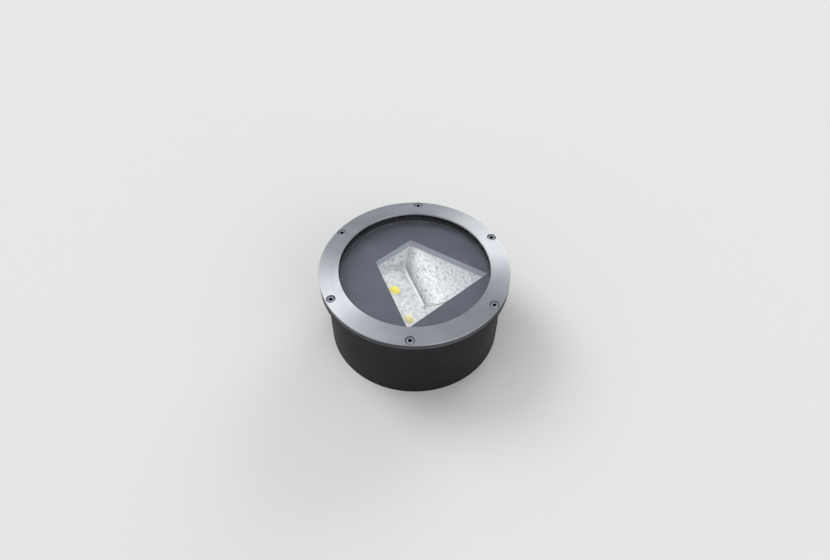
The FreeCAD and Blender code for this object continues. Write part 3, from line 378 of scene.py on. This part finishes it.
edge_fade = 1.2 * MM
mark_inside(main_sheet, [(top, right), (short_riser, long_riser)], edge_fade)
mark_inside(panel_sheet, [(left, bottom), (short_bead, long_bead)], edge_fade)
mark_inside(short_sheet, [(left, top), (left, short_bead)], edge_fade)
mark_inside(long_sheet, [(bottom, right), (bottom, long_bead)], edge_fade)
hammer(main_sheet, (0.5, (4.0, 2.8), -40, "VORONOI"), (0.3, (2.4, 2.4), 0, "CLOUDS"))
hammer(panel_sheet, (0.45, (5.0, 4.4), 20, "VORONOI"), (0.4, (3.0, 3.0), 0, "CLOUDS"))
hammer(short_sheet, (0.4, (3.4, 3.4), 0, "VORONOI"))
hammer(long_sheet, (0.4, (3.4, 3.4), 0, "VORONOI"))


# %% [markdown]
# ## The bead
# The LED panel's lower edge is rolled into a bead that stiffens it. In the photograph it is the bright
# straight ridge down the middle of the box, a little lumpy from the embossing. It is a round bar along
# the edge, pushed about by a soft cloud pattern, and joined to the panel.

# %% Bead along the panel
def bar(start, end, radius, sides, rings):
    """A round bar with an even grid along it."""
    bpy.ops.object.select_all(action="DESELECT")
    bpy.ops.mesh.primitive_circle_add(vertices=sides, radius=radius, fill_type="NGON",
                                      location=(0, 0, 0))
    piece = bpy.context.active_object
    bpy.ops.object.mode_set(mode="EDIT")
    bpy.ops.mesh.select_all(action="SELECT")
    step = (end - start).length / rings
    for _ in range(rings):
        bpy.ops.mesh.extrude_region_move(TRANSFORM_OT_translate={"value": (0, 0, step)})
    bpy.ops.object.mode_set(mode="OBJECT")
    piece.rotation_mode = "QUATERNION"
    piece.rotation_quaternion = (end - start).to_track_quat("Z", "Y")
    piece.location = start
    settle(piece)
    return piece


def settle(piece):
    """Moves a piece's place and turn into its mesh, so its object stays at the origin."""
    only(piece)
    bpy.ops.object.transform_apply(location=True, rotation=True, scale=True)


bead_r = 1.9 * MM
short_gap, long_gap = 2.0 * MM, 4.0 * MM
along_bead = (long_bead - short_bead).normalized()
bead_start, bead_end = short_bead + along_bead * short_gap, long_bead - along_bead * long_gap
bead = bar(bead_start, bead_end, bead_r, sides=18, rings=90)
only(bead)
bpy.ops.object.mode_set(mode="EDIT")
bpy.ops.mesh.select_all(action="SELECT")
bpy.ops.mesh.normals_make_consistent(inside=False)
bpy.ops.object.mode_set(mode="OBJECT")
push(bead, 0.8, (4.0, 4.0), 0, "CLOUDS")
print("bead is", round((bead_end - bead_start).length / MM, 1), "mm long")

# %% [markdown]
# ## Thickness, LED holes and folded edges
# The sheets are 1 mm thick. Solidify gives them that, away from the light. The panel has two round
# holes for the LEDs, punched with a boolean and a cutter each. Every sheet hangs from the mask by a
# folded edge with tabs over weld studs. Those folds are plain bent metal that the CAD model already
# has right, so they are cut from a copy of the CAD sheet along the window's side, and joined on.

# %% Thickness, holes and folds
touching = 0.001 * MM
hole_r, punch_len = 5.8 * MM, 8 * MM
fold_angle = math.radians(50)


def thicken(sheet):
    """Gives the sheet its thickness behind its face."""
    wall = sheet.modifiers.new("wall", "SOLIDIFY")
    wall.thickness = sheet_t
    wall.offset = -1.0
    only(sheet)
    bpy.ops.object.modifier_apply(modifier="wall")


def fold_of(node, start, end):
    """The folded edge outside one side of the window, cut from a copy of the CAD sheet."""
    fold = nodes[node].copy()
    fold.data = nodes[node].data.copy()
    fold.parent = None
    for key in list(fold.keys()):
        del fold[key]
    bpy.context.scene.collection.objects.link(fold)
    middle = (left + right) / 2
    side = (end - start).normalized()
    inwards = ((middle - start) - side * (middle - start).dot(side)).normalized()
    only(fold)
    bpy.ops.object.mode_set(mode="EDIT")
    bpy.ops.mesh.select_all(action="SELECT")
    bpy.ops.mesh.remove_doubles(threshold=touching)
    bpy.ops.mesh.bisect(plane_co=start, plane_no=inwards, clear_outer=True, use_fill=True,
                        threshold=touching)
    bpy.ops.object.mode_set(mode="OBJECT")
    fold.data.materials.clear()
    return fold


for sheet in (main_sheet, panel_sheet, short_sheet, long_sheet):
    thicken(sheet)
led_places = [mm(-21.17, -12.23, 71.66), mm(-3.34, -52.13, 71.66)]
panel_out = Vector((0.3421, 0.1529, 0.9271)).normalized()
for place in led_places:
    bpy.ops.object.select_all(action="DESELECT")
    bpy.ops.mesh.primitive_cylinder_add(vertices=64, radius=hole_r, depth=punch_len, location=place)
    punch = bpy.context.active_object
    punch.rotation_mode = "QUATERNION"
    punch.rotation_quaternion = panel_out.to_track_quat("Z", "Y")
    settle(punch)
    hole = panel_sheet.modifiers.new("hole", "BOOLEAN")
    hole.operation = "DIFFERENCE"
    hole.object = punch
    only(panel_sheet)
    bpy.ops.object.modifier_apply(modifier="hole")
    bpy.data.objects.remove(punch)
folds = {
    main_sheet: fold_of("main_reflector", top, right),
    panel_sheet: fold_of("led_panel", bottom, left),
    short_sheet: fold_of("short_end_reflector", left, top),
    long_sheet: fold_of("long_end_reflector", right, bottom),
}
for sheet, fold in folds.items():
    only(*([fold, bead, sheet] if sheet is panel_sheet else [fold, sheet]))
    bpy.ops.object.join()
    bpy.ops.object.shade_smooth_by_angle(angle=fold_angle)
    print(sheet.name, "has", sum(len(f.vertices) - 2 for f in sheet.data.polygons), "triangles")

# %% The sheets take the CAD sheets' places
for sheet, node in ((main_sheet, "main_reflector"), (panel_sheet, "led_panel"),
                    (short_sheet, "short_end_reflector"), (long_sheet, "long_end_reflector")):
    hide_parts(node)
    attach(sheet, "optic")
    low = [min(v.co[i] for v in sheet.data.vertices) for i in range(3)]
    high = [max(v.co[i] for v in sheet.data.vertices) for i in range(3)]
    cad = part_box(node)
    shifts = [round((new - old) / MM, 2) for new, old in zip((*low, *high), (*cad[0], *cad[1]))]
    print(node, "moved by", shifts)

# %% [markdown]
# ## Finishes
# Every finish starts the same way: a Principled shader with the metal's or plastic's usual numbers,
# and the piece's own coordinates turned to millimetres, so a pattern's size can be written as on a
# drawing. Real surfaces are never one flat colour. A slow noise makes the tone and the gloss drift,
# as handling, casting and dipping do, and a fine one gives the grain as a small bump.

# %% The start of a finish
def new_finish(name, colour, roughness, metallic=0.0, ior=1.5):
    """A material, its tree, its shader and its coordinates in millimetres."""
    material = bpy.data.materials.new(name)
    material.use_nodes = True
    tree = material.node_tree
    tree.nodes.clear()
    place = add(tree, "TexCoord")
    drawn = add(tree, "VectorMath", {0: place.outputs["Object"], "Scale": 1 / MM}, operation="SCALE")
    shader = add(tree, "BsdfPrincipled", {"Base Color": srgb(colour), "Roughness": roughness,
                                          "Metallic": metallic, "IOR": ior})
    add(tree, "OutputMaterial", {"Surface": shader.outputs["BSDF"]})
    return material, tree, shader, drawn.outputs["Vector"]


def drift(tree, shader, drawn, tones, gloss, patch, stretch=(1, 1, 1)):
    """Lets tone and roughness wander between two values over patches of that size in millimetres."""
    ruled = add(tree, "Mapping", {"Vector": drawn, "Scale": tuple(1 / (patch * s) for s in stretch)})
    noise = add(tree, "TexNoise", {"Vector": ruled.outputs["Vector"], "Scale": 1.0, "Detail": 4.0})
    spread = add(tree, "MapRange", {"Value": noise.outputs["Fac"], "From Min": 0.3, "From Max": 0.7})
    tone = add(tree, "Mix", {0: spread.outputs["Result"], 6: srgb(tones[0]), 7: srgb(tones[1])},
               data_type="RGBA")
    rough = add(tree, "MapRange", {"Value": noise.outputs["Fac"], "From Min": 0.3, "From Max": 0.7,
                                   "To Min": gloss[0], "To Max": gloss[1]})
    tree.links.new(tone.outputs[2], shader.inputs["Base Color"])
    tree.links.new(rough.outputs["Result"], shader.inputs["Roughness"])
    return tone.outputs[2]


def grain(tree, shader, drawn, size, height, stretch=(1, 1, 1)):
    """A fine bump: grains of that size and height in millimetres."""
    ruled = add(tree, "Mapping", {"Vector": drawn, "Scale": tuple(1 / (size * s) for s in stretch)})
    noise = add(tree, "TexNoise", {"Vector": ruled.outputs["Vector"], "Scale": 1.0, "Detail": 2.0})
    bump = add(tree, "Bump", {"Height": noise.outputs["Fac"], "Distance": height * MM, "Strength": 1.0})
    tree.links.new(bump.outputs["Normal"], shader.inputs["Normal"])


def wear(material, *names):
    """Gives CAD nodes or pieces this finish."""
    for name in names:
        piece = nodes[name] if name in nodes else bpy.data.objects[name]
        piece.data.materials.clear()
        piece.data.materials.append(material)
    print(material.name, "on", ", ".join(names))


# %% [markdown]
# ## Brushed stainless steel ring
# The ring is turned from stainless steel and brushed on the lathe, so its scratches are circles. Each
# scratch throws light across itself, which is why a lamp shows as two bright wedges, opposite each
# other, and not as a spot. The shader does that with its anisotropic setting and a tangent that runs
# round the axis. Scratches are about 0.05 mm wide, too fine to show, so they are drawn at 0.6 mm: noise
# on the radius alone makes rings. The side of the ring is painted a dark grey: painted shade for the
# dark band that falls under the ring.

# %% Brushed steel
steel, tree, shader, drawn = new_finish("brushed stainless steel", "#C3C4C7", 0.5, 1.0)
shader.inputs["Anisotropic"].default_value = 0.87
shader.inputs["Anisotropic Rotation"].default_value = 0.25
ring_run = add(tree, "Tangent", direction_type="RADIAL", axis="Z")
tree.links.new(ring_run.outputs["Tangent"], shader.inputs["Tangent"])
parts = add(tree, "SeparateXYZ", {"Vector": drawn})
flat = add(tree, "CombineXYZ", {"X": parts.outputs["X"], "Y": parts.outputs["Y"]})
radius = add(tree, "VectorMath", {0: flat.outputs["Vector"]}, operation="LENGTH")
scratch_w, cloud_w = 0.6, 30
scratches = add(tree, "TexNoise", {"W": radius.outputs["Value"], "Scale": 1 / scratch_w, "Detail": 3.0},
                noise_dimensions="1D")
cloud = add(tree, "TexNoise", {"Vector": drawn, "Scale": 1 / cloud_w, "Detail": 3.0})
shade = add(tree, "Math", {0: scratches.outputs["Fac"], 1: cloud.outputs["Fac"]}, operation="ADD")
tone = add(tree, "MapRange", {"Value": shade.outputs["Value"], "From Min": 0.7, "From Max": 1.3})
colour = add(tree, "Mix", {0: tone.outputs["Result"], 6: srgb("#A9ABAF"), 7: srgb("#C1C2C4")},
             data_type="RGBA")
rough = add(tree, "MapRange", {"Value": scratches.outputs["Fac"], "From Min": 0.3, "From Max": 0.7,
                               "To Min": 0.45, "To Max": 0.55})
# Below its crown the ring's side is painted dark grey #5C5E62: painted shade for the band under the ring.
shaded_side_z, crown_z = 96.4, 97.2
side = add(tree, "MapRange", {"Value": parts.outputs["Z"], "From Min": shaded_side_z, "From Max": crown_z})
ring_with_shaded_side = add(tree, "Mix", {0: side.outputs["Result"], 6: srgb("#5C5E62"), 7: colour.outputs[2]},
            data_type="RGBA")
tree.links.new(ring_with_shaded_side.outputs[2], shader.inputs["Base Color"])
tree.links.new(rough.outputs["Result"], shader.inputs["Roughness"])
wear(steel, "trim_ring")

# %% [markdown]
# ## Stainless screws
# The screws are plain stainless. Their sockets are painted dark: everything on a screw that is below the
# rim of its head is toned down by its height, as painted shade in the socket.

# %% Screw steel
screw_steel, tree, shader, drawn = new_finish("plain stainless screw", "#A9AAAE", 0.3, 1.0)
parts = add(tree, "SeparateXYZ", {"Vector": drawn})
# Below the rim of the head the colour fades to #2A2A2C: painted shade in the hex socket.
socket_shade_z, rim_z = 96.3, 96.9
depth = add(tree, "MapRange", {"Value": parts.outputs["Z"], "From Min": socket_shade_z, "From Max": rim_z})
colour = add(tree, "Mix", {0: depth.outputs["Result"], 6: srgb("#2A2A2C"), 7: srgb("#B4B5B9")},
             data_type="RGBA")
tree.links.new(colour.outputs[2], shader.inputs["Base Color"])
grain(tree, shader, drawn, 0.5, 0.01)
wear(screw_steel, "trim_screws")
cover_steel, tree, shader, drawn = new_finish("stainless cover screw", "#A9AAAE", 0.3, 1.0)
drift(tree, shader, drawn, ("#9C9DA1", "#B4B5B9"), (0.25, 0.38), 3.0)
wear(cover_steel, "cover_screws")

# %% [markdown]
# ## Clear glass
# The cover is toughened float glass, 8 mm thick, with ground edges. It must be looked through: the
# mask and the reflector under it are half of the picture. A refracting glass shader would lift them
# and lose most of the light that goes down. So the pane is made of a see-through part, clear as low-iron
# glass is, and a mirror part: 4% straight on, growing with the fifth power at low angles, which is the
# usual short form of Fresnel's law.

# %% Glass
glass = bpy.data.materials.new("clear float glass")
glass.use_nodes = True
tree = glass.node_tree
tree.nodes.clear()
through = add(tree, "BsdfTransparent", {"Color": srgb("#FEFEFE")})
mirror = add(tree, "BsdfAnisotropic", {"Color": srgb("#FFFFFF"), "Roughness": 0.02})
lean = add(tree, "LayerWeight", {"Blend": 0.5})
steep = add(tree, "Math", {0: lean.outputs["Facing"], 1: 5.0}, operation="POWER")
share = add(tree, "MapRange", {"Value": steep.outputs["Value"], "To Min": 0.04, "To Max": 1.0})
pane = add(tree, "MixShader", {0: share.outputs["Result"], 1: through.outputs["BSDF"],
                               2: mirror.outputs["BSDF"]})
add(tree, "OutputMaterial", {"Surface": pane.outputs["Shader"]})
wear(glass, "cover_glass")

# %% [markdown]
# ## Graphite powder coat
# The mask plate is painted with a dark blue-grey powder, baked on. It has the faint pimpled skin that
# such paint always has, about 1.5 mm from crest to crest. Everything below the plate's top face, the
# window's cut edge and its collar too, is painted a light grey: painted light for the light that the
# collar's upright faces catch.

# %% Powder coat
graphite, tree, shader, drawn = new_finish("graphite powder coat", "#5F6470", 0.5)
tone = drift(tree, shader, drawn, ("#51555F", "#5D616C"), (0.46, 0.56), 25.0)
parts = add(tree, "SeparateXYZ", {"Vector": drawn})
# Below the top face the colour turns light grey #B4BAC4: painted light on the collar and cut edge.
lit_collar_z, dark_top_z = 84.1, 84.4
low_down = add(tree, "MapRange", {"Value": parts.outputs["Z"], "From Min": lit_collar_z, "From Max": dark_top_z,
                                  "To Min": 1.0, "To Max": 0.0})
lit_collar = add(tree, "Mix", {0: low_down.outputs["Result"], 6: tone, 7: srgb("#B4BAC4")}, data_type="RGBA")
tree.links.new(lit_collar.outputs[2], shader.inputs["Base Color"])
grain(tree, shader, drawn, 1.5, 0.02)
wear(graphite, "mask_plate")

# %% [markdown]
# ## Hammered aluminium
# The reflector sheet is bright aluminium, embossed and clear anodised. Its dents are in the mesh. The
# oxide skin scatters most of the light and the metal under it mirrors the rest, so the shader is a third
# metallic. The crests between the dents are painted greyer than their bright bottoms, as painted shade
# for the speckled light and dark of the dented sheet, and the material reads that from the height that
# each point was given when it was hammered.

# %% Hammered sheet
hammered, tree, shader, drawn = new_finish("hammered bright aluminium", "#F2F2F0", 0.5, 0.3)
height = add(tree, "Attribute", attribute_name="crest")
speckle_w = 1.4
fine = add(tree, "TexNoise", {"Vector": drawn, "Scale": 1 / speckle_w, "Detail": 3.0})
uneven = add(tree, "MapRange", {"Value": fine.outputs["Fac"], "From Min": 0.3, "From Max": 0.7,
                                "To Min": -0.12, "To Max": 0.12})
sum_up = add(tree, "Math", {0: height.outputs["Fac"], 1: uneven.outputs["Result"]}, operation="ADD")
# Higher points are painted greyer, towards #B9BABB: painted shade on the crests.
crest = add(tree, "MapRange", {"Value": sum_up.outputs["Value"], "From Min": 0.2, "From Max": 0.85})
tone = add(tree, "Mix", {0: crest.outputs["Result"], 6: srgb("#F5F5F3"), 7: srgb("#B9BABB")},
           data_type="RGBA")
rough = add(tree, "MapRange", {"Value": crest.outputs["Result"], "To Min": 0.48, "To Max": 0.6})
tree.links.new(tone.outputs[2], shader.inputs["Base Color"])
tree.links.new(rough.outputs["Result"], shader.inputs["Roughness"])
grain(tree, shader, drawn, 1.6, 0.1)
wear(hammered, main_sheet.name, panel_sheet.name, short_sheet.name, long_sheet.name)

# %% [markdown]
# ## Phosphor
# Each LED is a low dome of yellow phosphor in clear silicone, over a chip. It is given a faint glow of
# its own colour, a painted light that no lamp drives, which keeps the unlit LED a vivid yellow. The nearer
# one is paler.

# %% Phosphor
phosphor, tree, shader, drawn = new_finish("yellow phosphor gel", "#F0E468", 0.35, ior=1.41)
parts = add(tree, "SeparateXYZ", {"Vector": drawn})
near_y, far_y = -40.0, -30.0
nearer = add(tree, "MapRange", {"Value": parts.outputs["Y"], "From Min": near_y, "From Max": far_y})
fleck_w = 1.2
speck = add(tree, "TexNoise", {"Vector": drawn, "Scale": 1 / fleck_w, "Detail": 2.0})
fleck = add(tree, "MapRange", {"Value": speck.outputs["Fac"], "From Min": 0.35, "From Max": 0.65})
pale = add(tree, "Mix", {0: fleck.outputs["Result"], 6: srgb("#D6CDA0"), 7: srgb("#E9DF96")},
           data_type="RGBA")
vivid = add(tree, "Mix", {0: fleck.outputs["Result"], 6: srgb("#EBDC55"), 7: srgb("#F5EA62")},
            data_type="RGBA")
colour = add(tree, "Mix", {0: nearer.outputs["Result"], 6: pale.outputs[2], 7: vivid.outputs[2]},
             data_type="RGBA")
tree.links.new(colour.outputs[2], shader.inputs["Base Color"])
# The phosphor's colour also drives a weak emission: painted glow, though the LED is unlit.
tree.links.new(colour.outputs[2], shader.inputs["Emission Color"])
shader.inputs["Emission Strength"].default_value = 0.35
wear(phosphor, "led_phosphors")

# %% [markdown]
# ## Plastics and rubbers
# The sleeve is moulded from black glass-filled polypropylene, with a fine spark-eroded grain of about
# 0.4 mm, drawn at 0.8 mm to show. The gaskets are matt, and the small mouldings are smooth.

# %% Sleeve, gaskets and small mouldings
sleeve, tree, shader, drawn = new_finish("black grained polypropylene", "#0F0F10", 0.55, ior=1.49)
shader.inputs["Specular IOR Level"].default_value = 0.25
drift(tree, shader, drawn, ("#0B0B0C", "#131315"), (0.5, 0.65), 40.0)
grain(tree, shader, drawn, 0.8, 0.05)
wear(sleeve, "installation_sleeve")

silicone, tree, shader, drawn = new_finish("black moulded silicone", "#1B1B1D", 0.45, ior=1.43)
drift(tree, shader, drawn, ("#161618", "#222225"), (0.4, 0.52), 12.0)
wear(silicone, "glass_gasket")

rubber, tree, shader, drawn = new_finish("black EPDM", "#1A1A1A", 0.7, ior=1.5)
drift(tree, shader, drawn, ("#151515", "#232322"), (0.65, 0.8), 6.0)
grain(tree, shader, drawn, 0.6, 0.03)
wear(rubber, "flange_gasket", "cover_seal", "gland_seals")

nylon_black, tree, shader, drawn = new_finish("black polyamide", "#1E1E1E", 0.42, ior=1.53)
drift(tree, shader, drawn, ("#191919", "#252525"), (0.36, 0.5), 5.0)
grain(tree, shader, drawn, 0.5, 0.02)
wear(nylon_black, "breather_valve")

nylon, tree, shader, drawn = new_finish("natural polyamide", "#E4E1D6", 0.42, ior=1.53)
drift(tree, shader, drawn, ("#DEDBCE", "#E9E6DC"), (0.36, 0.5), 6.0)
wear(nylon, "terminal_block", "led_holders", "led_connector")

acetal, tree, shader, drawn = new_finish("white acetal", "#E8E8E4", 0.3, ior=1.48)
drift(tree, shader, drawn, ("#E2E2DD", "#EEEEEA"), (0.25, 0.36), 8.0)
wear(acetal, "friction_washer")

case, tree, shader, drawn = new_finish("white polycarbonate case", "#DFDFDA", 0.45, ior=1.58)
drift(tree, shader, drawn, ("#DADAD4", "#E6E6E2"), (0.4, 0.52), 15.0)
grain(tree, shader, drawn, 0.7, 0.03)
wear(case, "driver")

lead, tree, shader, drawn = new_finish("silicone lead sheath", "#CFCFCB", 0.55, ior=1.43)
drift(tree, shader, drawn, ("#C8C8C3", "#D8D8D4"), (0.5, 0.62), 5.0)
wear(lead, "driver_lead", "led_lead_lower", "led_lead_upper")

pad, tree, shader, drawn = new_finish("grey-blue gap pad", "#A3AEB9", 0.75, ior=1.43)
drift(tree, shader, drawn, ("#9BA6B2", "#ACB6C0"), (0.7, 0.82), 4.0)
grain(tree, shader, drawn, 0.6, 0.04)
wear(pad, "thermal_pads")

# %% [markdown]
# ## Metals inside and underneath
# The housing is die-cast aluminium, blasted and chromated: a dull mid grey with a sandy skin and slow
# clouds from the metal's flow. Steel parts are zinc-plated, slightly blue, with a patchy passivation.
# The glands are nickelled brass, smooth and warm. Posts and heat sink are plain anodised aluminium, the
# sink with fine lines along its extrusion.

# %% Castings, plating and anodising
cast, tree, shader, drawn = new_finish("blasted cast aluminium", "#A9ABAD", 0.55, 1.0)
drift(tree, shader, drawn, ("#9A9C9F", "#B4B6B7"), (0.48, 0.62), 18.0)
grain(tree, shader, drawn, 0.7, 0.06)
wear(cast, "housing", "bottom_cover")

zinc, tree, shader, drawn = new_finish("clear zinc plating", "#BFC2C8", 0.35, 1.0)
drift(tree, shader, drawn, ("#B2B6BF", "#CACBCB"), (0.28, 0.45), 6.0)
wear(zinc, "swivel_bush", "disc_spring", "swivel_nut", "terminal_clamp_screws", "gear_screws",
     "optic_carrier", "mask_screws", "reflector_nuts", "led_screws", "heat_sink_screws")

nickel, tree, shader, drawn = new_finish("nickelled brass", "#CFCBC0", 0.25, 1.0)
drift(tree, shader, drawn, ("#C6C2B6", "#D6D3C9"), (0.2, 0.32), 5.0)
wear(nickel, "gland_bodies", "gland_nuts", "gland_locknuts")

brass, tree, shader, drawn = new_finish("turned brass", "#D9BC6E", 0.3, 1.0)
drift(tree, shader, drawn, ("#CFAF5F", "#E0C67C"), (0.25, 0.38), 3.0)
wear(brass, "earth_stud")

anodised, tree, shader, drawn = new_finish("natural anodised aluminium", "#D3D5D7", 0.4, 1.0)
drift(tree, shader, drawn, ("#C9CBCE", "#DCDDDF"), (0.34, 0.48), 0.8, stretch=(10, 10, 1))
wear(anodised, "mask_posts", "heat_sink")

board, tree, shader, drawn = new_finish("white solder mask", "#E6E6E2", 0.35, ior=1.52)
drift(tree, shader, drawn, ("#E0E0DB", "#ECECE9"), (0.3, 0.42), 4.0)
wear(board, "led_boards")

# %% [markdown]
# ## Close
# Every piece is in place. The last line prints the box of the whole scene in metres.

# %% Print the scene's box
low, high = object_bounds()
print("scene box in metres:", [round(v, 4) for v in (*low, *high)])
